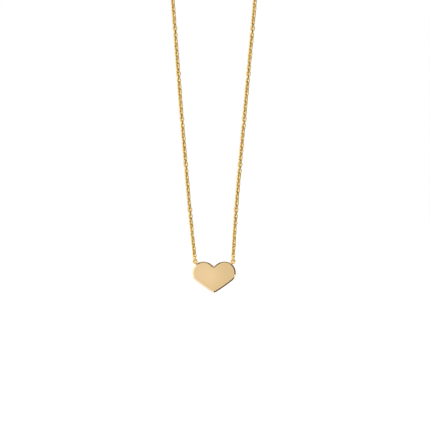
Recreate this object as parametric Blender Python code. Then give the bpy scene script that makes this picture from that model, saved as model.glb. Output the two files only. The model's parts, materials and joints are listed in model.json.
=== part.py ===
"""A pendant necklace: a flat heart on a fine cable chain that a spring ring clasp closes at the nape.

Metres, +Z up, +X to the viewer's right, -Y towards the viewer. The necklace hangs as it does from a neck.
The origin is the point at the nape where the chain's centre line crosses the middle of the clasp.
Each strand is a row of straight runs that fold about lines along X. Both strands fold about the same
lines, so the loop stays closed however it is folded.
"""

import math

import bmesh
import bpy
from mathutils import Matrix, Vector
from mathutils.geometry import interpolate_bezier

MM = 0.001

# Heart plate, measured from the notch between its lobes
HEART_WIDTH = 12.2 * MM
HEART_THICKNESS = 1.2 * MM
LOBE_RISE = 1.4 * MM          # lobe tops above the notch
LOBE_INSET = 3.2 * MM         # lobe tops in from the widest point
WIDEST_DROP = 1.85 * MM       # widest point below the notch
SIDE_INSET = 0.95 * MM        # where the straight lower side starts, in from the widest point
SIDE_DROP = 3.9 * MM         # the same place below the notch
TIP_DROP = 7.3 * MM          # tip below the notch
RIM_CHAMFER = 0.42 * MM

# Handle lengths of the heart's outline at the knots between its stretches
NOTCH_OUT = 1.1 * MM
NOTCH_UP = 1.0 * MM
LOBE_INWARD = 1.1 * MM
LOBE_OUTWARD = 1.7 * MM
WIDEST_UP = 2.1 * MM
WIDEST_DOWN = 0.85 * MM
SIDE_UP = 0.5 * MM
SIDE_BELLY = 0.3 * MM         # how far the straight lower side bows out
TIP_OUT = 0.45 * MM

# Rings, as centre line radius and wire radius
EYELET_RING = 0.53 * MM
EYELET_WIRE = 0.22 * MM
EYELET_INSET = 0.83 * MM      # eyelet centre in from the heart's widest point
END_RING = 0.67 * MM
END_WIRE = 0.20 * MM

# Chain
CHAIN_WIDTH = 1.45 * MM       # outside of a link
LINK_WIRE = 0.225 * MM        # wire radius of a link
RUN_RISE = 12.6 * MM          # height between two fold lines
RUN_COUNT = 13                # runs in each strand
NAPE_RADIUS = 19.4 * MM       # arc of the chain at the nape
FLARE = math.radians(5.0)     # how far a strand leans out where the nape's arc begins

# Spring ring clasp and the two rings beside it
CLASP_RING = 2.2 * MM
CLASP_TUBE = 0.55 * MM        # outside radius of the tube
CLASP_WALL = 0.15 * MM
LATCH_CLEARANCE = 0.1 * MM    # all round the latch in its tube
EYE_RING = 0.55 * MM
EYE_WIRE = 0.16 * MM
JUMP_RING = 0.75 * MM
JUMP_WIRE = 0.16 * MM
CLOSING_RING = 1.15 * MM
CLOSING_WIRE = 0.18 * MM
SPRING_WIRE = 0.05 * MM
SPRING_TURNS = 9

# Angles round the clasp, in degrees, anticlockwise from +X for the viewer
GAP_START = 112.0
GAP_END = 160.0
SOCKET_DEPTH = 8.0
LATCH_TIP = 166.0
LATCH_TAIL = 75.0
KNOB_AT = 88.0
LATCH_TRAVEL = 52.0
BORE_END = -27.0
CUT_PAST = 4.0                # how far a cutter runs past an open end
SPRING_END_ROOM = 3.0
SLOT_END_ROOM = 2.0

# The latch's knob
KNOB_REACH = 0.55 * MM        # outside the tube
KNOB_STEM = 0.14 * MM
KNOB_HEAD = 0.32 * MM
KNOB_LIFT = 0.1 * MM          # underside of its head off the tube
KNOB_CHAMFER = 0.1 * MM
KNOB_TOP_SHARE = 0.6          # flat top's part of the head's width
SLOT_CLEARANCE = 0.1 * MM

# Clearances
SOLDER_GAP = 0.05 * MM        # between two soldered pieces
RING_GAP = 0.05 * MM          # between two linked wires
FOLD_GAP = 0.15 * MM          # from a fold line to the end of a run

# How far out each strand lies at heights above the eyelets' centres: height, left, right
ROUTE = [
    (8.6 * MM, 6.20 * MM, 5.66 * MM),
    (19.7 * MM, 7.25 * MM, 6.60 * MM),
    (41.9 * MM, 9.15 * MM, 8.63 * MM),
    (69.7 * MM, 11.26 * MM, 11.18 * MM),
    (120.0 * MM, 15.40 * MM, 15.50 * MM),
]

# Places worked out from the sizes above
EYE_GAP_X = CLASP_TUBE + SOLDER_GAP + EYE_WIRE
EYE_X = CLASP_RING + EYE_GAP_X + EYE_RING
JUMP_X = EYE_X + EYE_RING - EYE_WIRE - JUMP_WIRE - RING_GAP + JUMP_RING
CLOSING_X = -CLASP_RING + CLASP_TUBE + CLOSING_WIRE + RING_GAP - CLOSING_RING
CHAIN_START_RIGHT = JUMP_X + JUMP_RING - JUMP_WIRE
CHAIN_START_LEFT = CLOSING_X - CLOSING_RING + CLOSING_WIRE
CLASP_X = -(CHAIN_START_RIGHT + CHAIN_START_LEFT) / 2
CHAIN_START = (CHAIN_START_RIGHT - CHAIN_START_LEFT) / 2
NAPE_CENTRE_Z = -math.sqrt(NAPE_RADIUS**2 - CHAIN_START**2)
NAPE_START_ANGLE = math.acos(CHAIN_START / NAPE_RADIUS)
FIRST_FOLD_Z = NAPE_CENTRE_Z - NAPE_RADIUS * math.sin(FLARE) - LINK_WIRE
LAST_FOLD_Z = FIRST_FOLD_Z - RUN_COUNT * RUN_RISE
END_RING_Z = LAST_FOLD_Z + LINK_WIRE + END_WIRE - END_RING
SWING_Z = END_RING_Z - END_RING + END_WIRE + EYELET_WIRE + RING_GAP
EYELET_Z = SWING_Z - EYELET_RING
EYELET_X = HEART_WIDTH / 2 - EYELET_INSET

# Fineness
RING_STEPS = 20
WIRE_SIDES = 8
TUBE_STEP = 9.0               # degrees between the sections of the clasp's tube
TUBE_SIDES = 12
CURVE_POINTS = 10             # points on each stretch of the heart's outline
CAP_ANGLES = (25.0, 50.0, 75.0)
STRAIGHT_STEPS = 4            # stretches in a straight run of chain
ARC_STEPS = 6                 # stretches in a curved run of chain
SPRING_TURN_STEPS = 8

LEFT = -1
RIGHT = 1


def clear_scene():
    for old in list(bpy.data.objects):
        bpy.data.objects.remove(old, do_unlink=True)


def make_material(name, colour, roughness):
    material = bpy.data.materials.new(name)
    material.use_nodes = True
    shader = material.node_tree.nodes["Principled BSDF"]
    shader.inputs["Base Color"].default_value = (*colour, 1.0)
    shader.inputs["Metallic"].default_value = 1.0
    shader.inputs["Roughness"].default_value = roughness
    return material


def add_object(name, data, material):
    data.materials.append(material)
    obj = bpy.data.objects.new(name, data)
    bpy.context.scene.collection.objects.link(obj)
    return obj


def add_mesh(name, bm, material, smooth_degrees=40.0):
    bmesh.ops.recalc_face_normals(bm, faces=bm.faces)
    mesh = bpy.data.meshes.new(name)
    bm.to_mesh(mesh)
    bm.free()
    mesh.shade_smooth()
    mesh.set_sharp_from_angle(angle=math.radians(smooth_degrees))
    return add_object(name, mesh, material)


def cut(obj, tool, operation="DIFFERENCE"):
    boolean = obj.modifiers.new(f"{operation.lower()} {tool.name}", "BOOLEAN")
    boolean.operation = operation
    boolean.object = tool
    tool.hide_render = True
    tool.display_type = "WIRE"


def spun_section(points, axis, degrees, steps):
    """Spins a closed outline of points about an axis through the origin, into a ring or a capped arc."""
    bm = bmesh.new()
    verts = [bm.verts.new(p) for p in points]
    edges = [bm.edges.new((verts[i - 1], verts[i])) for i in range(len(verts))]
    whole = abs(degrees) >= 360.0
    spun = bmesh.ops.spin(
        bm, geom=verts + edges, cent=(0, 0, 0), axis=axis, angle=math.radians(degrees), steps=steps
    )
    if whole:
        bmesh.ops.remove_doubles(bm, verts=bm.verts, dist=0.001 * MM)
    else:
        last_edges = [e for e in spun["geom_last"] if isinstance(e, bmesh.types.BMEdge)]
        bmesh.ops.contextual_create(bm, geom=edges)
        bmesh.ops.contextual_create(bm, geom=last_edges)
    return bm


def circle_points(centre_radius, wire, sides, out, side_way):
    """A round wire's section, at centre_radius along out. Its flats face out and side_way."""
    points = []
    for i in range(sides):
        angle = 2 * math.pi * (i + 0.5) / sides
        points.append(out * (centre_radius + wire * math.cos(angle)) + side_way * wire * math.sin(angle))
    return points


def wire_ring(name, centre, ring, wire, axis, material):
    """A closed ring of round wire whose hole faces along axis."""
    axis = Vector(axis)
    out = Vector((1, 0, 0)) if abs(axis.x) < 0.5 else Vector((0, 0, 1))
    points = circle_points(ring, wire, WIRE_SIDES, out, axis)
    bm = spun_section(points, axis, 360.0, RING_STEPS)
    obj = add_mesh(name, bm, material, 80.0)
    obj.location = centre
    return obj


def clasp_turn(degrees):
    return Matrix.Rotation(math.radians(degrees), 3, (0, -1, 0))


def clasp_arc(name, start, end, wire, sides, material, low=None, high=None, half_width=None):
    """An arc round the clasp's axis, from one angle to another: round wire, or a flat bar for a slot."""
    if half_width is None:
        points = circle_points(CLASP_RING, wire, sides, Vector((1, 0, 0)), Vector((0, 1, 0)))
    else:
        corners = [(low, -half_width), (high, -half_width), (high, half_width), (low, half_width)]
        points = [Vector((radius, y, 0)) for radius, y in corners]
    steps = max(2, round((end - start) / TUBE_STEP))
    bm = spun_section(points, (0, -1, 0), end - start, steps)
    bmesh.ops.rotate(bm, verts=bm.verts, matrix=clasp_turn(start))
    obj = add_mesh(name, bm, material)
    obj.location = (CLASP_X, 0, 0)
    return obj


def build_heart(material):
    """The plate, from half an outline that is mirrored, given its thickness and a chamfered rim."""
    half = HEART_WIDTH / 2
    lobe = half - LOBE_INSET
    side = half - SIDE_INSET
    slope = Vector((side, TIP_DROP - SIDE_DROP)).normalized()
    stretches = [
        ((0, 0), (NOTCH_OUT, NOTCH_UP), (lobe - LOBE_INWARD, LOBE_RISE), (lobe, LOBE_RISE)),
        (
            (lobe, LOBE_RISE),
            (lobe + LOBE_OUTWARD, LOBE_RISE),
            (half, WIDEST_UP - WIDEST_DROP),
            (half, -WIDEST_DROP),
        ),
        (
            (half, -WIDEST_DROP),
            (half, -WIDEST_DROP - WIDEST_DOWN),
            (side + SIDE_UP * slope.x, -SIDE_DROP + SIDE_UP * slope.y),
            (side, -SIDE_DROP),
        ),
        (
            (side, -SIDE_DROP),
            (side / 2, -(SIDE_DROP + TIP_DROP) / 2 - SIDE_BELLY),
            (TIP_OUT, -TIP_DROP),
            (0, -TIP_DROP),
        ),
    ]
    outline = []
    for knots in stretches:
        first, first_handle, last_handle, last = (Vector((x, 0, z)) for x, z in knots)
        outline += interpolate_bezier(first, first_handle, last_handle, last, CURVE_POINTS)[:-1]
    outline.append(Vector((0, 0, -TIP_DROP)))
    mirrored = [Vector((-p.x, 0, p.z)) for p in reversed(outline[1:-1])]
    notch_z = EYELET_Z - eyelet_height(outline)

    bm = bmesh.new()
    front = [bm.verts.new(p + Vector((0, -HEART_THICKNESS / 2, 0))) for p in outline + mirrored]
    face = bm.faces.new(front)
    grown = bmesh.ops.extrude_face_region(bm, geom=[face], use_keep_orig=True)
    moved = [v for v in grown["geom"] if isinstance(v, bmesh.types.BMVert)]
    bmesh.ops.translate(bm, verts=moved, vec=(0, HEART_THICKNESS, 0))
    heart = add_mesh("heart_plate", bm, material)
    heart.location = (0, 0, notch_z)
    rim = heart.modifiers.new("rim", "BEVEL")
    rim.width = RIM_CHAMFER
    rim.segments = 1
    rim.limit_method = "ANGLE"
    rim.angle_limit = math.radians(60)
    return heart


def eyelet_height(outline):
    """Height of an eyelet's centre above the notch, where its ring just rests on the heart's shoulder."""
    reach = EYELET_RING + EYELET_WIRE + SOLDER_GAP
    near = [p for p in outline if abs(p.x - EYELET_X) < reach]
    return max(p.z + math.sqrt(reach**2 - (p.x - EYELET_X) ** 2) for p in near)


def route_x(side, height):
    """How far out a strand lies at a height above the eyelets, on straight stretches between its points."""
    top = NAPE_RADIUS * math.cos(FLARE)
    points = [(0.0, EYELET_X)]
    points += [(row[0], row[1] if side == LEFT else row[2]) for row in ROUTE]
    points.append((FIRST_FOLD_Z - EYELET_Z, top))
    for (h0, x0), (h1, x1) in zip(points, points[1:]):
        if height <= h1:
            return side * (x0 + (x1 - x0) * (height - h0) / (h1 - h0))
    return side * top


def chain_run(name, centres, material):
    """A run of chain as a round bar through its centre points, with rounded ends."""
    radius = CHAIN_WIDTH / 2
    start_way = (centres[1] - centres[0]).normalized()
    end_way = (centres[-2] - centres[-1]).normalized()
    caps = [(radius * (1 - math.cos(math.radians(a))), math.sin(math.radians(a))) for a in CAP_ANGLES]
    points = [(centres[0] + start_way * back, share) for back, share in caps]
    points.append((centres[0] + start_way * radius, 1.0))
    points += [(p, 1.0) for p in centres[1:-1]]
    points.append((centres[-1] + end_way * radius, 1.0))
    points += [(centres[-1] + end_way * back, share) for back, share in reversed(caps)]

    curve = bpy.data.curves.new(name, "CURVE")
    curve.dimensions = "3D"
    curve.bevel_depth = radius
    curve.bevel_resolution = 2
    curve.use_fill_caps = True
    curve.render_resolution_u = 0
    spline = curve.splines.new("POLY")
    spline.points.add(len(points) - 1)
    for knot, (place, share) in zip(spline.points, points):
        knot.co = (*place, 1.0)
        knot.radius = share
    return add_object(name, curve, material)


def build_strand(side, word, material):
    """The straight runs of one strand, from the nape down to the heart."""
    for number in range(RUN_COUNT):
        top_z = FIRST_FOLD_Z - number * RUN_RISE
        low_z = top_z - RUN_RISE
        top = Vector((route_x(side, top_z - EYELET_Z), 0, top_z))
        low = Vector((route_x(side, low_z - EYELET_Z), 0, low_z))
        way = (low - top).normalized()
        low_gap = FOLD_GAP
        if number == RUN_COUNT - 1:
            low_gap = LINK_WIRE + 2 * END_WIRE + FOLD_GAP
        start = top + way * FOLD_GAP
        end = low - way * low_gap
        centres = [start.lerp(end, step / STRAIGHT_STEPS) for step in range(STRAIGHT_STEPS + 1)]
        chain_run(f"chain_{word}_{number + 1:02d}", centres, material)


def build_nape(side, word, material):
    """The arc of chain beside the clasp, in two runs with a fold's gap at each end."""
    gap_angle = FOLD_GAP / NAPE_RADIUS
    ring_gap = (CHAIN_WIDTH / 2) / NAPE_RADIUS
    middle = (NAPE_START_ANGLE - FLARE) / 2
    ends = [(NAPE_START_ANGLE - ring_gap, middle + gap_angle), (middle - gap_angle, -FLARE)]
    for number, (start, end) in enumerate(ends):
        centres = []
        for step in range(ARC_STEPS + 1):
            angle = start + (end - start) * step / ARC_STEPS
            x = side * NAPE_RADIUS * math.cos(angle)
            centres.append(Vector((x, 0, NAPE_CENTRE_Z + NAPE_RADIUS * math.sin(angle))))
        chain_run(f"nape_chain_{word}_{number + 1}", centres, material)


def build_rings(material):
    """The heart's eyelets, the rings that end the chain, and the rings on each side of the clasp."""
    for side, word in ((LEFT, "left"), (RIGHT, "right")):
        between = (route_x(side, LAST_FOLD_Z - EYELET_Z) + side * EYELET_X) / 2
        wire_ring(f"heart_eyelet_{word}", (side * EYELET_X, 0, EYELET_Z), EYELET_RING, EYELET_WIRE,
                  (0, 1, 0), material)
        wire_ring(f"end_ring_{word}", (between, 0, END_RING_Z), END_RING, END_WIRE, (1, 0, 0), material)
    wire_ring("closing_ring", (CLASP_X + CLOSING_X, 0, 0), CLOSING_RING, CLOSING_WIRE, (0, 0, 1), material)
    wire_ring("clasp_jump_ring", (CLASP_X + JUMP_X, 0, 0), JUMP_RING, JUMP_WIRE, (0, 0, 1), material)
    wire_ring("clasp_eye", (CLASP_X + EYE_X, 0, 0), EYE_RING, EYE_WIRE, (0, 1, 0), material)


def build_clasp(material, latch_material, spring_material):
    """The spring ring: a bored tube with a gap, a sprung latch that closes it, and the latch's knob."""
    bore = CLASP_TUBE - CLASP_WALL
    rod = bore - LATCH_CLEARANCE
    slot_half = KNOB_STEM + SLOT_CLEARANCE
    knob_turn = math.degrees(slot_half / CLASP_RING) + SLOT_END_ROOM

    body = clasp_arc("clasp_body", GAP_END, GAP_START + 360.0, CLASP_TUBE, TUBE_SIDES, material)
    bore_tool = clasp_arc("bore_cutter", BORE_END, GAP_START + CUT_PAST, bore, TUBE_SIDES, material)
    socket_tool = clasp_arc(
        "socket_cutter", GAP_END - CUT_PAST, GAP_END + SOCKET_DEPTH, bore, TUBE_SIDES, material
    )
    slot_tool = clasp_arc(
        "slot_cutter",
        KNOB_AT - LATCH_TRAVEL - knob_turn,
        KNOB_AT + knob_turn,
        None,
        4,
        material,
        low=CLASP_RING,
        high=CLASP_RING + 2 * CLASP_TUBE,
        half_width=slot_half,
    )
    for tool in (bore_tool, socket_tool, slot_tool):
        cut(body, tool)

    latch = clasp_arc("latch", LATCH_TAIL, LATCH_TIP, rod, TUBE_SIDES, latch_material)
    tube_top = CLASP_RING + CLASP_TUBE
    bm = bmesh.new()
    profile = [
        (0.0, CLASP_RING),
        (KNOB_STEM, CLASP_RING),
        (KNOB_STEM, tube_top + KNOB_LIFT),
        (KNOB_HEAD, tube_top + KNOB_LIFT + KNOB_CHAMFER),
        (KNOB_HEAD, tube_top + KNOB_REACH - KNOB_CHAMFER),
        (KNOB_HEAD * KNOB_TOP_SHARE, tube_top + KNOB_REACH),
        (0.0, tube_top + KNOB_REACH),
    ]
    verts = [bm.verts.new((reach, across, 0)) for across, reach in profile]
    edges = [bm.edges.new(pair) for pair in zip(verts, verts[1:])]
    bmesh.ops.spin(
        bm, geom=verts + edges, cent=(0, 0, 0), axis=(1, 0, 0), angle=2 * math.pi, steps=WIRE_SIDES
    )
    bmesh.ops.remove_doubles(bm, verts=bm.verts, dist=0.001 * MM)
    bmesh.ops.rotate(bm, verts=bm.verts, matrix=clasp_turn(KNOB_AT))
    knob = add_mesh("knob_tool", bm, latch_material)
    knob.location = (CLASP_X, 0, 0)
    cut(latch, knob, "UNION")

    curve = bpy.data.curves.new("latch_spring", "CURVE")
    curve.dimensions = "3D"
    curve.bevel_depth = SPRING_WIRE
    curve.bevel_resolution = 0
    curve.use_fill_caps = True
    curve.render_resolution_u = 0
    spline = curve.splines.new("POLY")
    count = SPRING_TURNS * SPRING_TURN_STEPS
    spline.points.add(count)
    coil = rod - SPRING_WIRE
    first = math.radians(BORE_END + SPRING_END_ROOM)
    last = math.radians(LATCH_TAIL - SPRING_END_ROOM)
    for i in range(count + 1):
        round_clasp = first + (last - first) * i / count
        round_coil = 2 * math.pi * i / SPRING_TURN_STEPS
        reach = CLASP_RING + coil * math.cos(round_coil)
        x = CLASP_X + reach * math.cos(round_clasp)
        spline.points[i].co = (x, coil * math.sin(round_coil), reach * math.sin(round_clasp), 1.0)
    add_object("latch_spring", curve, spring_material)


def main():
    clear_scene()
    plate_gold = make_material("plate_gold", (0.84, 0.61, 0.33), 0.3)
    chain_gold = make_material("chain_gold", (0.80, 0.56, 0.24), 0.2)
    clasp_gold = make_material("clasp_gold", (0.80, 0.56, 0.24), 0.22)
    latch_gold = make_material("latch_gold", (0.78, 0.55, 0.25), 0.3)
    spring_steel = make_material("spring_steel", (0.55, 0.55, 0.56), 0.35)
    build_heart(plate_gold)
    for side, word in ((LEFT, "left"), (RIGHT, "right")):
        build_strand(side, word, chain_gold)
        build_nape(side, word, chain_gold)
    build_rings(chain_gold)
    build_clasp(clasp_gold, latch_gold, spring_steel)


main()
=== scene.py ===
# %% [markdown]
# # A heart necklace in gold
#
# The finished object is a pendant necklace: a small flat heart, held at its two shoulders by a fine
# cable chain that a spring ring clasp closes at the back of the neck. The mechanical model is already
# there as a fixed frame. Each stretch of chain in it is only a plain bar, and each ring is coarse, so
# this lesson makes the surfaces that are seen: real interlocking links, rings of round wire with their
# cut ends, the polished plate, and the clasp with its latch. Every piece rides on a body of the frame,
# so the necklace still folds and swings.
#
# The first cell loads the frame. Everything it brings in is selected, and most operators act on all
# that is selected, so the scene starts with nothing selected.

# %% Load the frame
import json
import math
import random

import bmesh
import bpy
from mathutils import Matrix, Vector


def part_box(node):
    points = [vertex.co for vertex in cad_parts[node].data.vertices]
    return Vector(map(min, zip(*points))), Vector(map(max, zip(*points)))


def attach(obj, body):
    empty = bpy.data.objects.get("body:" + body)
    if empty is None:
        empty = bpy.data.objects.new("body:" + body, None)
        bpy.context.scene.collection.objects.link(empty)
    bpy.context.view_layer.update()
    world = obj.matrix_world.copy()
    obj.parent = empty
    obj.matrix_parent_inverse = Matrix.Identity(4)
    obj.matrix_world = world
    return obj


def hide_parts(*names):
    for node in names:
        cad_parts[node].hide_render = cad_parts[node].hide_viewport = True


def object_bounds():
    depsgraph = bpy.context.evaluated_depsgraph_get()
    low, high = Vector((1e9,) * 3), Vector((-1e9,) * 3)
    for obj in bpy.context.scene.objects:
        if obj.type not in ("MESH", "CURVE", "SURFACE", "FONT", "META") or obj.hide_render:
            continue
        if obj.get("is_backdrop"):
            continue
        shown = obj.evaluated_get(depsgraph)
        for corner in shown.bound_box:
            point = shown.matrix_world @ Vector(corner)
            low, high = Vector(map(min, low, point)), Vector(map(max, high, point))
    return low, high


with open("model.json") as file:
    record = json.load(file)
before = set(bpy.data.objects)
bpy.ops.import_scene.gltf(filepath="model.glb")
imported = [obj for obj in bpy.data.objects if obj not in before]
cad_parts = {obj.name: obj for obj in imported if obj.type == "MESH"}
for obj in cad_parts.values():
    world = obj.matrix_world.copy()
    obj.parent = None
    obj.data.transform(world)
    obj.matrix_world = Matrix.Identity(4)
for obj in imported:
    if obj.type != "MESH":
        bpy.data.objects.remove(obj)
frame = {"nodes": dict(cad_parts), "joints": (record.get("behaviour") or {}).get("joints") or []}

cad_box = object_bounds()
MM = 0.001
bpy.ops.object.select_all(action="DESELECT")
joint_at = {joint["name"]: Vector(joint["pos_m"]) for joint in frame["joints"]}
print("the frame's box in mm:", [[round(v / MM, 1) for v in corner] for corner in cad_box])

# %% [markdown]
# ## The camera
#
# The heart hangs at the bottom of the view, and both strands run out of its top edge. A short lens held
# close would swell the heart and make the strands lean together, so this one is long and stands far
# off. The view's width is a size in the real world, so the focal length follows from it and the
# distance. The middle of the view is placed by where the heart's eyelets lie.

# %% Camera
VIEW_WIDTH = 119.5 * MM
CAMERA_DISTANCE = 0.62
EYELETS_BELOW_CENTRE = 12.85 * MM
CENTRE_RIGHT = 0.3 * MM
SENSOR_WIDTH = 36.0
NEAREST_SEEN = 0.01
FARTHEST_SEEN = 20.0


def node_centre(node):
    low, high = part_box(node)
    return (low + high) / 2


eyelet_left = node_centre("heart_eyelet_left")
eyelet_right = node_centre("heart_eyelet_right")
view_centre = Vector((CENTRE_RIGHT, 0, eyelet_left.z + EYELETS_BELOW_CENTRE))
camera_data = bpy.data.cameras.new("camera")
camera_data.sensor_width = SENSOR_WIDTH
camera_data.lens = SENSOR_WIDTH * CAMERA_DISTANCE / VIEW_WIDTH
camera_data.clip_start = NEAREST_SEEN
camera_data.clip_end = FARTHEST_SEEN
camera = bpy.data.objects.new("camera", camera_data)
camera.location = view_centre + Vector((0, -CAMERA_DISTANCE, 0))
camera.rotation_euler = (math.radians(90), 0, 0)
bpy.context.scene.collection.objects.link(camera)
bpy.context.scene.camera = camera
print(f"focal length {camera_data.lens:.0f} mm at {CAMERA_DISTANCE} m")

# %% [markdown]
# ## Helpers
#
# A few habits repeat for every piece. Before a primitive is added, everything is deselected. A piece's
# turn and place go into its mesh, and its object stays at the origin. In edit mode, vertices, edges and
# faces are picked in code by where they are. Edges between faces that meet at less than a given angle
# are shaded smooth, and a coarse wire needs a wider angle than a fine one.

# %% Helpers for modelling
FINE_SMOOTH = 50.0
COARSE_SMOOTH = 80.0
ALL_SMOOTH = 180.0


def deselect_all():
    bpy.ops.object.select_all(action="DESELECT")


def only(obj):
    """Makes one object the selected and active one."""
    deselect_all()
    obj.select_set(True)
    bpy.context.view_layer.objects.active = obj


def apply_place(obj):
    only(obj)
    bpy.ops.object.transform_apply(location=True, rotation=True, scale=True)


def named(name):
    """Names the object that an operator has just made, and puts its place into its mesh."""
    obj = bpy.context.active_object
    obj.name = name
    obj.data.name = name
    apply_place(obj)
    return obj


def select_where(obj, kind, test):
    """In edit mode, selects what passes the test: a vertex's place, a face's middle or an edge."""
    bpy.context.tool_settings.mesh_select_mode = (kind == "VERT", kind == "EDGE", kind == "FACE")
    bpy.ops.mesh.select_all(action="DESELECT")
    bm = bmesh.from_edit_mesh(obj.data)
    if kind == "VERT":
        for vert in bm.verts:
            vert.select_set(test(vert.co))
    elif kind == "EDGE":
        for edge in bm.edges:
            edge.select_set(test(edge))
    else:
        for face in bm.faces:
            face.select_set(test(face.calc_center_median()))
    bm.select_flush_mode()
    bmesh.update_edit_mesh(obj.data)


def fill_open_ends(sides):
    """In edit mode, closes each hole of a mesh that has at most that many sides."""
    bpy.ops.mesh.select_mode(type="EDGE")
    bpy.ops.mesh.select_all(action="DESELECT")
    bpy.ops.mesh.select_non_manifold()
    bpy.ops.mesh.fill_holes(sides=sides)


def edit(obj):
    only(obj)
    bpy.ops.object.mode_set(mode="EDIT")


def done():
    bpy.ops.object.mode_set(mode="OBJECT")


def apply_modifier(obj, modifier):
    only(obj)
    bpy.ops.object.modifier_apply(modifier=modifier.name)


def smooth(obj, degrees):
    only(obj)
    bpy.ops.object.shade_smooth_by_angle(angle=math.radians(degrees))


def outward(obj):
    edit(obj)
    bpy.ops.mesh.select_all(action="SELECT")
    bpy.ops.mesh.normals_make_consistent(inside=False)
    done()


def join(pieces, name):
    deselect_all()
    for piece in pieces:
        piece.select_set(True)
    bpy.context.view_layer.objects.active = pieces[0]
    bpy.ops.object.join()
    obj = bpy.context.active_object
    obj.name = name
    obj.data.name = name
    return obj


def finish_piece(obj, body, slot, material, *nodes):
    """Gives a piece its finish and its body, and hides the plain solids that it stands for."""
    obj.data.materials.clear()
    obj.data.materials.append(material)
    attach(obj, body)
    if nodes:
        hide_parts(*nodes)


# %% [markdown]
# ## Gold finishes
#
# Gold has no grain of its own. What the eye reads is how it was finished: chain wire is drawn and
# tumbled bright, rings are polished, and the plate is satin polished with a fine brush so that it
# glows evenly instead of mirroring the room. All of these are the same metal shader with another
# colour, roughness and relief, so one function builds them. Noise on the object's own coordinates
# varies the roughness and the tone slightly, as handling does, and a stretched noise gives the
# hairlines of the brush. A noise's values gather round its middle, so the range that they mostly fill
# is what is spread over the roughness.

# %% Gold materials
NOISE_LOW = 0.3
NOISE_HIGH = 0.7
PATCH_DETAIL = 3.0
# How much the noise patches still stir the tone inside a painted sheen.
PATCHES_IN_PAINTED_SHEEN = 0.15
GRAIN_DETAIL = 4.0
GRAIN_SCALE = 4000.0
HAIRLINE_SCALE = 9000.0
RELIEF_DEPTH = 0.01 * MM
# How far a painted sheen fades from its light tone round its point to the dark tone.
PAINTED_SHEEN_REACH = 6.5 * MM
EVEN = (1.0, 1.0, 1.0)


def add_node(tree, kind, **settings):
    node = tree.nodes.new(kind)
    for name, value in settings.items():
        setattr(node, name, value)
    return node


def gold(name, light, dark, rough, relief, patch_scale, brush=None, painted_sheen_at=None):
    """A gold finish that drifts between a light and a dark tone.

    rough is its lowest and highest roughness, and a brush stretches its grain to hairlines. Given a point as
    its last argument, it paints a sheen there: the light tone lies round that point as a painted highlight,
    and the dark one, as painted shade, the sheen's full reach away from it.
    """
    material = bpy.data.materials.new(name)
    material.use_nodes = True
    tree = material.node_tree
    shader = tree.nodes["Principled BSDF"]
    shader.inputs["Metallic"].default_value = 1.0
    place = add_node(tree, "ShaderNodeTexCoord")

    patches = add_node(tree, "ShaderNodeTexNoise")
    patches.inputs["Scale"].default_value = patch_scale
    patches.inputs["Detail"].default_value = PATCH_DETAIL
    tree.links.new(place.outputs["Object"], patches.inputs["Vector"])

    tone = add_node(tree, "ShaderNodeMix", data_type="RGBA")
    tone.inputs["A"].default_value = (*dark, 1.0)
    tone.inputs["B"].default_value = (*light, 1.0)
    if painted_sheen_at is None:
        tree.links.new(patches.outputs["Fac"], tone.inputs["Factor"])
    else:
        # A painted sheen: the tone is lightest round the given point and fades to the dark tone away from
        # it, as if light fell there.
        away = add_node(tree, "ShaderNodeVectorMath", operation="DISTANCE")
        away.inputs[1].default_value = painted_sheen_at
        painted_sheen = add_node(tree, "ShaderNodeMapRange", interpolation_type="SMOOTHSTEP")
        painted_sheen.inputs["From Max"].default_value = PAINTED_SHEEN_REACH
        painted_sheen.inputs["To Min"].default_value = 1.0
        painted_sheen.inputs["To Max"].default_value = 0.0
        blend = add_node(tree, "ShaderNodeMath", operation="MULTIPLY_ADD")
        blend.inputs[1].default_value = PATCHES_IN_PAINTED_SHEEN
        tree.links.new(place.outputs["Object"], away.inputs[0])
        tree.links.new(away.outputs["Value"], painted_sheen.inputs["Value"])
        tree.links.new(patches.outputs["Fac"], blend.inputs[0])
        tree.links.new(painted_sheen.outputs["Result"], blend.inputs[2])
        tree.links.new(blend.outputs["Value"], tone.inputs["Factor"])
    tree.links.new(tone.outputs["Result"], shader.inputs["Base Color"])

    spread = add_node(tree, "ShaderNodeMapRange")
    spread.inputs["From Min"].default_value = NOISE_LOW
    spread.inputs["From Max"].default_value = NOISE_HIGH
    spread.inputs["To Min"].default_value = rough[0]
    spread.inputs["To Max"].default_value = rough[1]
    tree.links.new(patches.outputs["Fac"], spread.inputs["Value"])
    tree.links.new(spread.outputs["Result"], shader.inputs["Roughness"])

    stretch = add_node(tree, "ShaderNodeMapping")
    stretch.inputs["Scale"].default_value = brush or EVEN
    grain = add_node(tree, "ShaderNodeTexNoise")
    grain.inputs["Scale"].default_value = HAIRLINE_SCALE if brush else GRAIN_SCALE
    grain.inputs["Detail"].default_value = GRAIN_DETAIL
    bump = add_node(tree, "ShaderNodeBump")
    bump.inputs["Strength"].default_value = relief
    bump.inputs["Distance"].default_value = RELIEF_DEPTH
    tree.links.new(place.outputs["Object"], stretch.inputs["Vector"])
    tree.links.new(stretch.outputs["Vector"], grain.inputs["Vector"])
    tree.links.new(grain.outputs["Fac"], bump.inputs["Height"])
    tree.links.new(bump.outputs["Normal"], shader.inputs["Normal"])
    return material


# %% [markdown]
# The wire of the chain, the rings and the clasp is a rich yellow. The plate's rim is cut bright and paler,
# and its faces are a champagne tone with a painted sheen: the colour is painted lightest a little up and
# left of the middle, as if lit from there, and darker away from it.

# %% Six finishes
LIGHT_YELLOW = (0.95, 0.74, 0.31)
DEEP_YELLOW = (0.90, 0.67, 0.23)
LIGHT_RIM = (0.92, 0.76, 0.55)
DEEP_RIM = (0.88, 0.71, 0.49)
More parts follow.
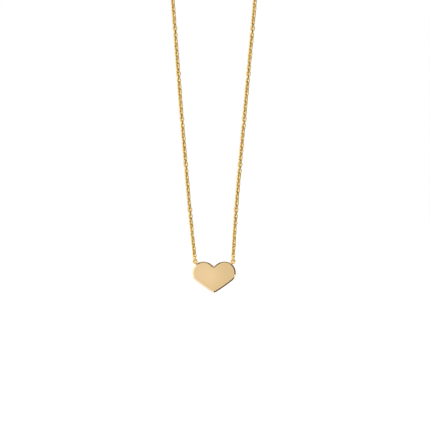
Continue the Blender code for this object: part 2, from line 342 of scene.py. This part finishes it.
# The face's two tones: the first is painted round the sheen's point as a painted highlight, the second is
# the darker tone away from it, as painted shade.
CHAMPAGNE_IN_PAINTED_SHEEN = (0.751, 0.567, 0.327)
CHAMPAGNE_AWAY_FROM_SHEEN = (0.645, 0.487, 0.262)
# Where the plate's painted sheen is centred: left of and above the plate's middle.
PAINTED_SHEEN_LEFT = 2.2 * MM
PAINTED_SHEEN_UP = 0.6 * MM

heart_centre = node_centre("heart_plate")
yellow = (LIGHT_YELLOW, DEEP_YELLOW)
plate_gold = gold(
    "plate_gold",
    CHAMPAGNE_IN_PAINTED_SHEEN,
    CHAMPAGNE_AWAY_FROM_SHEEN,
    rough=(0.26, 0.34),
    relief=0.25,
    patch_scale=180.0,
    brush=(0.04, 1.0, 1.0),
    painted_sheen_at=heart_centre + Vector((-PAINTED_SHEEN_LEFT, 0, PAINTED_SHEEN_UP)),
)
rim_gold = gold("rim_gold", LIGHT_RIM, DEEP_RIM, rough=(0.10, 0.16), relief=0.05, patch_scale=400.0)
chain_gold = gold("chain_gold", *yellow, rough=(0.08, 0.18), relief=0.12, patch_scale=900.0)
ring_gold = gold("ring_gold", *yellow, rough=(0.12, 0.20), relief=0.10, patch_scale=700.0)
clasp_gold = gold("clasp_gold", *yellow, rough=(0.12, 0.22), relief=0.10, patch_scale=500.0)
latch_gold = gold("latch_gold", *yellow, rough=(0.22, 0.34), relief=0.20, patch_scale=500.0)
print("six gold finishes")

# %% [markdown]
# ## One link
#
# A cable chain's link is an oval of drawn wire with two straight sides. It starts as a torus of the
# link's half width. Moving its upper and lower halves apart, in edit mode, keeps the wire round at both
# ends and turns the sides straight, which scaling the torus would not. The shape repeats hundreds of
# times, so it has only 60 faces, and smooth shading does the rest.

# %% Model one link
LINK_LENGTH = 1.8 * MM
LINK_WIDTH = 1.45 * MM
LINK_WIRE = 0.225 * MM
LINK_STEPS = 10
LINK_SIDES = 6
NEAR_MIDDLE = 0.01 * MM

deselect_all()
bpy.ops.mesh.primitive_torus_add(
    major_segments=LINK_STEPS,
    minor_segments=LINK_SIDES,
    major_radius=LINK_WIDTH / 2 - LINK_WIRE,
    minor_radius=LINK_WIRE,
    rotation=(math.radians(90), 0, 0),
)
link = named("link")
stretch_half = (LINK_LENGTH - LINK_WIDTH) / 2
edit(link)
for way in (1, -1):
    select_where(link, "VERT", lambda co: co.z * way > NEAR_MIDDLE)
    bpy.ops.transform.translate(value=(0, 0, way * stretch_half))
done()
smooth(link, COARSE_SMOOTH)
print(f"a link is {LINK_LENGTH / MM:.1f} mm long, with {len(link.data.polygons)} faces")

# %% [markdown]
# ## Laying the links
#
# Two links touch where the inside of one end meets the inside of the next, so their pitch is the
# link's inner length. Each link is turned a quarter turn to the last, and the chain as a whole lies
# about 40 degrees round, so that neither kind of link is seen flat or edge on. Chain is never perfectly
# even: each link is rolled and tipped by a few degrees within its play.
#
# The stretch between two fold lines has fourteen links. The fold's axis runs through the end wire of
# the last one, so the next link swings round that wire, as it does on the real chain. The two touch one
# wire's radius above the axis. Wires that cross it askew would cut into each other as they swing, so
# the chain comes round to 15 degrees at each fold line, over two links. Above the heart it lies at 30
# degrees, which suits the end rings, and at the clasp it starts square to the rings that hold it.

# %% Chain runs
LINKS_PER_RUN = 14
LINKS_ROUND_NAPE = 31
ROLL_PLAY = math.radians(12.0)
TIP_PLAY = math.radians(3.0)
LIE = math.radians(40.0)
LIE_AT_FOLD = (math.radians(15.0), math.radians(31.0))
LIE_AT_CLASP = (0.0, *LIE_AT_FOLD)
LIE_AT_HEART = (math.radians(30.0), math.radians(38.0))
random.seed(14)


def place_link(start, end, roll):
    """A copy of the link between two touching points, turned by roll out of the chain's plane."""
    copy = bpy.data.objects.new("link_copy", link.data.copy())
    bpy.context.scene.collection.objects.link(copy)
    along = (end - start).normalized()
    sideways = Vector((0, 1, 0)).cross(along).normalized()
    facing = along.cross(sideways)
    turn = Matrix((sideways, facing, along)).transposed().to_4x4()
    tip = random.uniform(-TIP_PLAY, TIP_PLAY)
    play = Matrix.Rotation(roll, 4, "Z") @ Matrix.Rotation(tip, 4, "X")
    copy.data.transform(Matrix.Translation((start + end) / 2) @ turn @ play)
    return copy


def lay_links(touching, first_edge_on, name, lie_at_top=LIE_AT_FOLD, lie_at_low=LIE_AT_FOLD):
    """One piece of chain, with a link between each two neighbours in a list of touching points.

    lie_at_top and lie_at_low say how the links at the two ends lie, the outermost first. All the
    others lie at LIE, give or take their play.
    """
    copies = []
    last = len(touching) - 2
    for number, (start, end) in enumerate(zip(touching, touching[1:])):
        quarter = math.pi / 2 if (number % 2 == 0) == first_edge_on else 0.0
        if number < len(lie_at_top):
            lie = lie_at_top[number]
        elif last - number < len(lie_at_low):
            lie = lie_at_low[last - number]
        else:
            lie = LIE + random.uniform(-ROLL_PLAY, ROLL_PLAY)
        copies.append(place_link(start, end, quarter + lie))
    return join(copies, name)


above_fold = Vector((0, 0, LINK_WIRE))
folds = {"left": [], "right": []}
for side in folds:
    number = 1
    while f"{side}_fold_{number:02d}" in joint_at:
        folds[side].append(joint_at[f"{side}_fold_{number:02d}"] + above_fold)
        number += 1
    folds[side].append(joint_at[f"{side}_end_ring_turn"] + above_fold)

for side, points in folds.items():
    for number, (top, low) in enumerate(zip(points, points[1:]), start=1):
        touching = [top.lerp(low, step / LINKS_PER_RUN) for step in range(LINKS_PER_RUN + 1)]
        lie_at_low = LIE_AT_HEART if number == len(points) - 1 else LIE_AT_FOLD
        run = lay_links(touching, True, f"links_{side}_{number:02d}", lie_at_low=lie_at_low)
        finish_piece(run, f"{side}_run_{number:02d}", "chain_gold", chain_gold, f"chain_{side}_{number:02d}")
run_pitch = (folds["left"][0] - folds["left"][1]).length / LINKS_PER_RUN
print(f"{len(folds['left']) - 1} runs a side, pitch {run_pitch / MM:.3f} mm")

# %% [markdown]
# At the nape the chain bends in an arc from the clasp's rings down to the first fold. The arc's centre
# lies below the clasp by what its radius and the chain's starting point leave.

# %% Chain round the nape
NAPE_RADIUS = 19.4 * MM
CLOSING_RING = 1.15 * MM
CLOSING_WIRE = 0.18 * MM

closing_ring_at = joint_at["closing_ring_roll"]
chain_start_x = abs(closing_ring_at.x - CLOSING_RING + CLOSING_WIRE)
arc_centre = Vector((0, 0, -math.sqrt(NAPE_RADIUS**2 - chain_start_x**2)))
start_angle = math.acos(chain_start_x / NAPE_RADIUS)
for side, way in (("left", -1), ("right", 1)):
    last = folds[side][0] - arc_centre
    end_angle = math.atan2(last.z, abs(last.x))
    touching = []
    for step in range(LINKS_ROUND_NAPE + 1):
        angle = start_angle + (end_angle - start_angle) * step / LINKS_ROUND_NAPE
        out = Vector((way * math.cos(angle), 0, math.sin(angle)))
        touching.append(arc_centre + out * NAPE_RADIUS)
    nape = lay_links(touching, False, f"links_nape_{side}", LIE_AT_CLASP)
    finish_piece(nape, "nape", "chain_gold", chain_gold, f"nape_chain_{side}_1", f"nape_chain_{side}_2")
bpy.data.objects.remove(link, do_unlink=True)
print(f"{2 * (LINKS_ROUND_NAPE + LINKS_PER_RUN * (len(folds['left']) - 1))} links in all")

# %% [markdown]
# ## Rings
#
# There are two kinds. A soldered ring, such as an eyelet, is closed. A jump ring is a turn of wire cut
# from a coil, bent shut, and the two cut ends still show as a fine seam. The open kind starts as the
# same torus: one column of faces is deleted, the two holes are filled, and their edges are bevelled
# very slightly, as the saw and the tumbler leave them.

# %% Rings of wire
FINE_RING = 40
FINE_WIRE = 12
SEAM_OPEN = 0.12
SEAM_BEVEL = 0.015 * MM
SEAM_BEVEL_STEPS = 2


def angle_off(co, angle):
    """How far a place lies from an angle round the Z axis."""
    return abs(math.remainder(math.atan2(co.y, co.x) - angle, 2 * math.pi))


def cut_seam(obj, ring, seam_at):
    """Cuts a ring through at an angle in degrees, and closes the cut to a narrow seam.

    SEAM_OPEN is half of what stays open, as a share of the column of faces that is taken out.
    """
    column = math.radians(360 / FINE_RING)
    inside = 0.4 * column
    near = 0.1 * column
    seam = (round(math.radians(seam_at) / column) + 0.5) * column
    edit(obj)
    select_where(obj, "FACE", lambda co: angle_off(co, seam) < inside)
    bpy.ops.mesh.delete(type="FACE")
    fill_open_ends(FINE_WIRE)
    for way in (1, -1):
        cut_end = seam + way * column / 2
        select_where(obj, "VERT", lambda co: angle_off(co, cut_end) < near)
        close = Vector((math.sin(cut_end), -math.cos(cut_end), 0)) * way
        bpy.ops.transform.translate(value=close * ring * column * (0.5 - SEAM_OPEN))
    select_where(obj, "EDGE", lambda edge: any(len(face.verts) == FINE_WIRE for face in edge.link_faces))
    bpy.ops.mesh.bevel(offset=SEAM_BEVEL, segments=SEAM_BEVEL_STEPS, affect="EDGES")
    done()


def wire_ring(name, centre, ring, wire, turn, seam_at=None):
    """A ring of round wire at centre. turn sets its plane, and seam_at says where it is cut, if at all."""
    deselect_all()
    bpy.ops.mesh.primitive_torus_add(
        major_segments=FINE_RING, minor_segments=FINE_WIRE, major_radius=ring, minor_radius=wire
    )
    obj = named(name)
    if seam_at is not None:
        cut_seam(obj, ring, seam_at)
    obj.data.transform(Matrix.Translation(centre) @ turn)
    smooth(obj, FINE_SMOOTH)
    return obj


# %% [markdown]
# The eyelets and the clasp's eye lie in the plane of the whole necklace. Each end ring hangs across
# that plane, turned 15 degrees so that it crosses the last link nearly at a right angle. The two rings
# that hold the chain's ends at the clasp lie flat.

# %% Make the rings
IN_CHAIN_PLANE = Matrix.Rotation(math.radians(90), 4, "X")
ACROSS_STRAND = Matrix.Rotation(math.radians(90), 4, "Y")
TURNED_ACROSS = Matrix.Rotation(math.radians(15), 4, "Z") @ ACROSS_STRAND
FLAT = Matrix.Identity(4)
END_RING = 0.67 * MM
END_WIRE = 0.20 * MM
EYELET_RING = 0.53 * MM
EYELET_WIRE = 0.22 * MM
EYE_RING = 0.55 * MM
EYE_WIRE = 0.16 * MM
JUMP_RING = 0.75 * MM
JUMP_WIRE = 0.16 * MM

for side in ("left", "right"):
    centre = node_centre(f"end_ring_{side}")
    ring = wire_ring(f"end_link_{side}", centre, END_RING, END_WIRE, TURNED_ACROSS, seam_at=140)
    finish_piece(ring, f"{side}_end_ring", "ring_gold", ring_gold, f"end_ring_{side}")
    centre = node_centre(f"heart_eyelet_{side}")
    eyelet = wire_ring(f"eyelet_{side}", centre, EYELET_RING, EYELET_WIRE, IN_CHAIN_PLANE)
    finish_piece(eyelet, "heart", "ring_gold", ring_gold, f"heart_eyelet_{side}")
ring = wire_ring("closing_loop", closing_ring_at, CLOSING_RING, CLOSING_WIRE, FLAT, seam_at=250)
finish_piece(ring, "closing_ring", "ring_gold", ring_gold, "closing_ring")
jump_ring_at = node_centre("clasp_jump_ring")
ring = wire_ring("clasp_link", jump_ring_at, JUMP_RING, JUMP_WIRE, FLAT, seam_at=80)
finish_piece(ring, "clasp_jump_ring", "ring_gold", ring_gold, "clasp_jump_ring")
ring = wire_ring("clasp_tail_eye", node_centre("clasp_eye"), EYE_RING, EYE_WIRE, IN_CHAIN_PLANE)
finish_piece(ring, "clasp", "ring_gold", ring_gold, "clasp_eye")
print("seven rings")

# %% [markdown]
# ## The heart
#
# The plate is sawn or stamped from sheet, its rim is bevelled all round, and both faces are finished
# flat. Its outline is a bezier curve, the natural tool for a heart: a sharp knot at the notch, smooth
# ones at the lobe's top and at the widest point, and a nearly straight run down to a tip that is just
# rounded. Each knot has its own place and the ends of its two handles. Only one half is drawn, and the
# other is its mirror. The curve is then turned into a mesh, filled, given its thickness with an
# extrude, and its edges are bevelled.

# %% Heart outline
LOBE_RISE = 1.4 * MM
LOBE_INSET = 3.2 * MM
WIDEST_DROP = 1.85 * MM
SIDE_INSET = 0.95 * MM
SIDE_DROP = 3.9 * MM
TIP_DROP = 7.3 * MM
NOTCH_OUT = 1.1 * MM
NOTCH_UP = 1.0 * MM
LOBE_INWARD = 1.1 * MM
LOBE_OUTWARD = 1.7 * MM
WIDEST_UP = 2.1 * MM
WIDEST_DOWN = 0.85 * MM
SIDE_UP = 0.5 * MM
SIDE_BELLY = 0.3 * MM
TIP_OUT = 0.45 * MM
CURVE_STEPS = 14

heart_low, heart_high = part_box("heart_plate")
half = (heart_high.x - heart_low.x) / 2
notch_z = heart_high.z - LOBE_RISE
lobe_x = half - LOBE_INSET
side_x = half - SIDE_INSET
slope = Vector((side_x, TIP_DROP - SIDE_DROP)).normalized() * SIDE_UP
notch = ((0, 0), (0, 0), (NOTCH_OUT, NOTCH_UP))
lobe_top = ((lobe_x, LOBE_RISE), (lobe_x - LOBE_INWARD, LOBE_RISE), (lobe_x + LOBE_OUTWARD, LOBE_RISE))
widest = ((half, -WIDEST_DROP), (half, WIDEST_UP - WIDEST_DROP), (half, -WIDEST_DROP - WIDEST_DOWN))
side_end = (side_x / 2, -(SIDE_DROP + TIP_DROP) / 2 - SIDE_BELLY)
side_start = ((side_x, -SIDE_DROP), (side_x + slope.x, -SIDE_DROP + slope.y), side_end)
tip = ((0, -TIP_DROP), (TIP_OUT, -TIP_DROP), (0, -TIP_DROP))
knots = [notch, lobe_top, widest, side_start, tip]
outline = bpy.data.curves.new("heart_outline", "CURVE")
outline.dimensions = "3D"
outline.resolution_u = CURVE_STEPS
spline = outline.splines.new("BEZIER")
spline.bezier_points.add(len(knots) - 1)
for point, (place, before, after) in zip(spline.bezier_points, knots):
    point.handle_left_type = "FREE"
    point.handle_right_type = "FREE"
    point.co = (place[0], 0, place[1])
    point.handle_left = (before[0], 0, before[1])
    point.handle_right = (after[0], 0, after[1])
heart = bpy.data.objects.new("heart_body", outline)
bpy.context.scene.collection.objects.link(heart)
only(heart)
bpy.ops.object.convert(target="MESH")
heart = bpy.context.active_object
print(f"half the outline has {len(heart.data.vertices)} points")

# %% [markdown]
# The half outline gets its mirror, the face is filled and extruded to the sheet's thickness. The bevel
# comes in two parts: the rim's broad bevel, and then a very small one that breaks its edges, because a
# polished edge always catches a line of light and a mathematical one never does.

# %% Heart plate
RIM_CHAMFER = 0.42 * MM
EDGE_BREAK = 0.05 * MM
MERGE = 0.002 * MM
FACES_STRAIGHT = 0.98
FACE_SLOT = 0
RIM_SLOT = 1

heart_thickness = heart_high.y - heart_low.y
mirror = heart.modifiers.new("mirror", "MIRROR")
mirror.merge_threshold = MERGE
apply_modifier(heart, mirror)
edit(heart)
bpy.ops.mesh.select_all(action="SELECT")
bpy.ops.mesh.remove_doubles(threshold=MERGE)
bpy.ops.mesh.edge_face_add()
bpy.ops.transform.translate(value=(0, heart_low.y, 0))
bpy.ops.mesh.extrude_region_move(TRANSFORM_OT_translate={"value": (0, heart_thickness, 0)})
bpy.ops.mesh.select_all(action="SELECT")
bpy.ops.mesh.normals_make_consistent(inside=False)
bpy.ops.transform.translate(value=(0, 0, notch_z))
done()
for name, width, segments, sharper_than in (
    ("chamfer", RIM_CHAMFER, 1, 60),
    ("edge_break", EDGE_BREAK, 2, 35),
):
    bevel = heart.modifiers.new(name, "BEVEL")
    bevel.width = width
    bevel.segments = segments
    bevel.limit_method = "ANGLE"
    bevel.angle_limit = math.radians(sharper_than)
    bevel.use_clamp_overlap = False
    apply_modifier(heart, bevel)
outward(heart)
smooth(heart, FINE_SMOOTH)
by_area = heart.modifiers.new("by_area", "WEIGHTED_NORMAL")
by_area.keep_sharp = True
apply_modifier(heart, by_area)
heart.data.materials.clear()
heart.data.materials.append(plate_gold)
heart.data.materials.append(rim_gold)
for face in heart.data.polygons:
    face.material_index = FACE_SLOT if abs(face.normal.y) > FACES_STRAIGHT else RIM_SLOT
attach(heart, "heart")
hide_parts("heart_plate")
print(f"the plate has {len(heart.data.polygons)} faces")

# %% [markdown]
# ## Solder
#
# Hard solder runs into the joint between an eyelet and the plate and leaves a small smooth fillet. It
# is a ball squashed into the corner, wider along the plate's edge than it is high, and low enough for
# the end ring to swing over it.

# %% Solder fillets
BALL_STEPS = 16
BALL_RINGS = 10
FILLET_INWARD = 0.2 * MM
FILLET_SIZE = (0.42 * MM, 0.18 * MM, 0.30 * MM)


def solder(name, centre, size, body):
    deselect_all()
    bpy.ops.mesh.primitive_uv_sphere_add(segments=BALL_STEPS, ring_count=BALL_RINGS, radius=1.0)
    obj = named(name)
    obj.data.transform(Matrix.Translation(centre) @ Matrix.Diagonal((*size, 1.0)))
    smooth(obj, ALL_SMOOTH)
    finish_piece(obj, body, "ring_gold", ring_gold)


for side, centre in (("left", eyelet_left), ("right", eyelet_right)):
    foot = centre - Vector((math.copysign(FILLET_INWARD, centre.x), 0, EYELET_RING))
    solder(f"solder_{side}", foot, FILLET_SIZE, "heart")

# %% [markdown]
# ## The clasp
#
# A spring ring is a tube bent into a ring with a gap in it. A torus gives the tube: the faces over the
# gap are deleted, so are a few on its outer side where the knob's slot runs, and Solidify then gives
# the shell its wall, inwards, which makes both the gap's open ends and the slot's edges real. Where the
# gap, the slot and the latch start and end is an angle in degrees round the clasp.

# %% Clasp body
CLASP_RING = 2.2 * MM
CLASP_TUBE = 0.55 * MM
CLASP_WALL = 0.15 * MM
CLASP_STEPS = 90
TUBE_SIDES = 20
GAP = (112.0, 160.0)
SLOT = (30.0, 94.0)
SLOT_FROM = CLASP_RING + 0.85 * CLASP_TUBE

clasp_at = joint_at["clasp_roll"]


def angle_round(co):
    """Degrees round the clasp, anticlockwise from the right for someone who looks at it from the front."""
    return math.degrees(math.atan2(co.y, co.x)) % 360


deselect_all()
bpy.ops.mesh.primitive_torus_add(
    major_segments=CLASP_STEPS,
    minor_segments=TUBE_SIDES,
    major_radius=CLASP_RING,
    minor_radius=CLASP_TUBE,
)
clasp = named("clasp_tube")
edit(clasp)
select_where(clasp, "FACE", lambda co: GAP[0] < angle_round(co) < GAP[1])
bpy.ops.mesh.delete(type="FACE")
select_where(clasp, "FACE", lambda co: SLOT[0] < angle_round(co) < SLOT[1] and co.xy.length > SLOT_FROM)
bpy.ops.mesh.delete(type="FACE")
done()
wall = clasp.modifiers.new("wall", "SOLIDIFY")
wall.thickness = CLASP_WALL
wall.offset = -1.0
apply_modifier(clasp, wall)
clasp.data.transform(Matrix.Translation(clasp_at) @ IN_CHAIN_PLANE)
smooth(clasp, FINE_SMOOTH)
finish_piece(clasp, "clasp", "clasp_gold", clasp_gold, "clasp_body")
print(f"the clasp's tube has {len(clasp.data.polygons)} faces")

# %% [markdown]
# The latch is a bent rod that slides inside the tube. Its tip crosses the gap into the far end of the
# tube, and a small round knob stands out through the slot for a thumbnail.

# %% Latch and knob
LATCH = (75.0, 166.0)
LATCH_ROD = 0.30 * MM
ROD_SIDES = 16
KNOB_AT = math.radians(88.0)
STEM_RADIUS = 0.14 * MM
STEM_LENGTH = 0.7 * MM
STEM_OUT = CLASP_RING + 0.4 * MM
HEAD_RADIUS = 0.3 * MM
HEAD_OUT = CLASP_RING + CLASP_TUBE + 0.33 * MM
HEAD_STEPS = 20
HEAD_RINGS = 12
HEAD_FLATTER = 0.7

deselect_all()
bpy.ops.mesh.primitive_torus_add(
    major_segments=CLASP_STEPS,
    minor_segments=ROD_SIDES,
    major_radius=CLASP_RING,
    minor_radius=LATCH_ROD,
)
rod = named("latch_rod")
edit(rod)
select_where(rod, "FACE", lambda co: not LATCH[0] < angle_round(co) < LATCH[1])
bpy.ops.mesh.delete(type="FACE")
fill_open_ends(ROD_SIDES)
done()
knob_out = Vector((math.cos(KNOB_AT), math.sin(KNOB_AT), 0))
knob_turn = Vector((0, 0, 1)).rotation_difference(knob_out).to_matrix().to_4x4()
deselect_all()
bpy.ops.mesh.primitive_cylinder_add(vertices=ROD_SIDES, radius=STEM_RADIUS, depth=STEM_LENGTH)
stem = named("knob_stem")
stem.data.transform(Matrix.Translation(knob_out * STEM_OUT) @ knob_turn)
deselect_all()
bpy.ops.mesh.primitive_uv_sphere_add(segments=HEAD_STEPS, ring_count=HEAD_RINGS, radius=HEAD_RADIUS)
head = named("knob_head")
flatter = Matrix.Diagonal((1, 1, HEAD_FLATTER, 1))
head.data.transform(Matrix.Translation(knob_out * HEAD_OUT) @ knob_turn @ flatter)
latch = join([rod, stem, head], "latch_and_knob")
latch.data.transform(Matrix.Translation(clasp_at) @ IN_CHAIN_PLANE)
smooth(latch, FINE_SMOOTH)
finish_piece(latch, "latch", "latch_gold", latch_gold, "latch")
print(f"the latch has {len(latch.data.polygons)} faces")

# %% [markdown]
# The clasp's eye is soldered to the side of its tube, where it holds the ring of the chain's right end.

# %% Solder at the clasp's eye
EYE_FILLET_OUT = CLASP_RING + CLASP_TUBE + 0.02 * MM
EYE_FILLET_SIZE = (0.14 * MM, 0.22 * MM, 0.26 * MM)

eye_foot = clasp_at + Vector((EYE_FILLET_OUT, 0, 0))
solder("solder_clasp_eye", eye_foot, EYE_FILLET_SIZE, "clasp")

# %% [markdown]
# The coil spring behind the latch stays the frame's own node. It is steel wire, drawn dull.

# %% Spring steel
STEEL = (0.55, 0.55, 0.56, 1.0)
DRAWN_SCALE = 3000.0
DRAWN_ROUGH = (0.25, 0.45)


def drawn_steel(name):
    """Bare steel whose roughness varies finely, as a drawing die leaves it."""
    material = bpy.data.materials.new(name)
    material.use_nodes = True
    tree = material.node_tree
    shader = tree.nodes["Principled BSDF"]
    shader.inputs["Metallic"].default_value = 1.0
    shader.inputs["Base Color"].default_value = STEEL
    place = add_node(tree, "ShaderNodeTexCoord")
    drawn = add_node(tree, "ShaderNodeTexNoise")
    drawn.inputs["Scale"].default_value = DRAWN_SCALE
    spread = add_node(tree, "ShaderNodeMapRange")
    spread.inputs["To Min"].default_value = DRAWN_ROUGH[0]
    spread.inputs["To Max"].default_value = DRAWN_ROUGH[1]
    tree.links.new(place.outputs["Object"], drawn.inputs["Vector"])
    tree.links.new(drawn.outputs["Fac"], spread.inputs["Value"])
    tree.links.new(spread.outputs["Result"], shader.inputs["Roughness"])
    return material


spring = frame["nodes"]["latch_spring"]
spring.data.materials.clear()
spring.data.materials.append(drawn_steel("spring_steel_wire"))

# %% [markdown]
# ## Floor
#
# The floor is plain pale paper. It lies well below the heart, is left out of what the gold mirrors, and
# glows softly, so that it stays as pale as the wall behind from every side.

# %% Floor
FLOOR_DROP = 60.0 * MM
FLOOR_SIZE = 30.0
PAPER = (0.9, 0.9, 0.9, 1.0)
PAPER_ROUGH = 0.9
WHITE = (1.0, 1.0, 1.0, 1.0)

deselect_all()
bpy.ops.mesh.primitive_plane_add(size=FLOOR_SIZE, location=(0, 0, cad_box[0].z - FLOOR_DROP))
floor = named("floor")
paper = bpy.data.materials.new("floor_paper")
paper.use_nodes = True
shader = paper.node_tree.nodes["Principled BSDF"]
shader.inputs["Base Color"].default_value = PAPER
shader.inputs["Roughness"].default_value = PAPER_ROUGH
shader.inputs["Emission Color"].default_value = WHITE
shader.inputs["Emission Strength"].default_value = 1.0
floor.data.materials.append(paper)
floor.visible_glossy = False
floor.visible_shadow = False
floor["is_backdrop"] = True

# %% [markdown]
# ## Light
#
# Polished metal shows what is round it, so its light is a matter of which white cards it can mirror.
# The plate faces the viewer and mirrors a large soft light in front, set off to the left, which makes the
# face paler on that side, and a sheen painted into its colour makes that side paler still. The rim is
# bevelled at 45 degrees, so each stretch of it mirrors what lies straight out from the outline there, in the
# plane of the heart. Lights at the left and the lower left make the rim pale along those edges, and a small
# card does so just below the widest point at the right. A dim light above keeps the lobes' rims from going
# black, and the rest of the right side mirrors the dark surroundings. Two lights behind are there for the
# heart's back and the chain's sides.

# %% Lights
# name: where it stands from the heart in metres, how wide it is, how bright its face looks
LIGHTS = {
    "front_light": ((-0.35, -1.25, 0.2), 2.3, 1.0),
    "left_light": ((-0.982, 0.0, 0.191), 1.55, 1.1),
    "low_left_light": ((-0.574, 0.0, -0.819), 1.05, 0.9),
    "top_light": ((0.035, 0.0, 0.999), 0.9, 0.28),
    "right_card": ((1.0, 0.0, -0.35), 0.35, 1.0),
    "back_light": ((0.0, 1.3, 0.2), 1.6, 0.6),
    "back_right_light": ((0.9, 0.9, -0.3), 1.0, 0.7),
}


def softbox(name, place, target, size, radiance):
    """A square light at place that faces target. radiance is how bright its face looks."""
    data = bpy.data.lights.new(name, "AREA")
    data.shape = "SQUARE"
    data.size = size
    data.energy = radiance * math.pi * size * size
    obj = bpy.data.objects.new(name, data)
    obj.location = place
    obj.rotation_euler = (target - place).to_track_quat("-Z", "Y").to_euler()
    obj.visible_camera = False
    bpy.context.scene.collection.objects.link(obj)


for name, (offset, size, radiance) in LIGHTS.items():
    softbox(name, heart_centre + Vector(offset), heart_centre, size, radiance)
print(f"{len(LIGHTS)} lights")

# %% [markdown]
# The viewer sees white behind the necklace, but the gold mirrors a dark, warm room. One background
# can't be both, so a Light Path node tells the viewer's own rays from all the others.

# %% Surroundings
DARK_ROOM = (0.20, 0.155, 0.11, 1.0)

world = bpy.data.worlds.new("studio")
bpy.context.scene.world = world
world.use_nodes = True
tree = world.node_tree
seen = add_node(tree, "ShaderNodeLightPath")
mix = add_node(tree, "ShaderNodeMix", data_type="RGBA")
mix.inputs["A"].default_value = DARK_ROOM
mix.inputs["B"].default_value = WHITE
tree.links.new(seen.outputs["Is Camera Ray"], mix.inputs["Factor"])
tree.links.new(mix.outputs["Result"], tree.nodes["Background"].inputs["Color"])
bpy.context.scene.view_settings.view_transform = "Standard"

# %% [markdown]
# ## Finish
#
# The last cell prints how far the finished model's box grows past the frame's box at each corner, and hands
# the scene over.

# %% Sizes and finish
made_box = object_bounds()
for corner_cad, corner_made in zip(cad_box, made_box):
    print("grows by, in mm:", [round((m - c) / MM, 2) for c, m in zip(corner_cad, corner_made)])
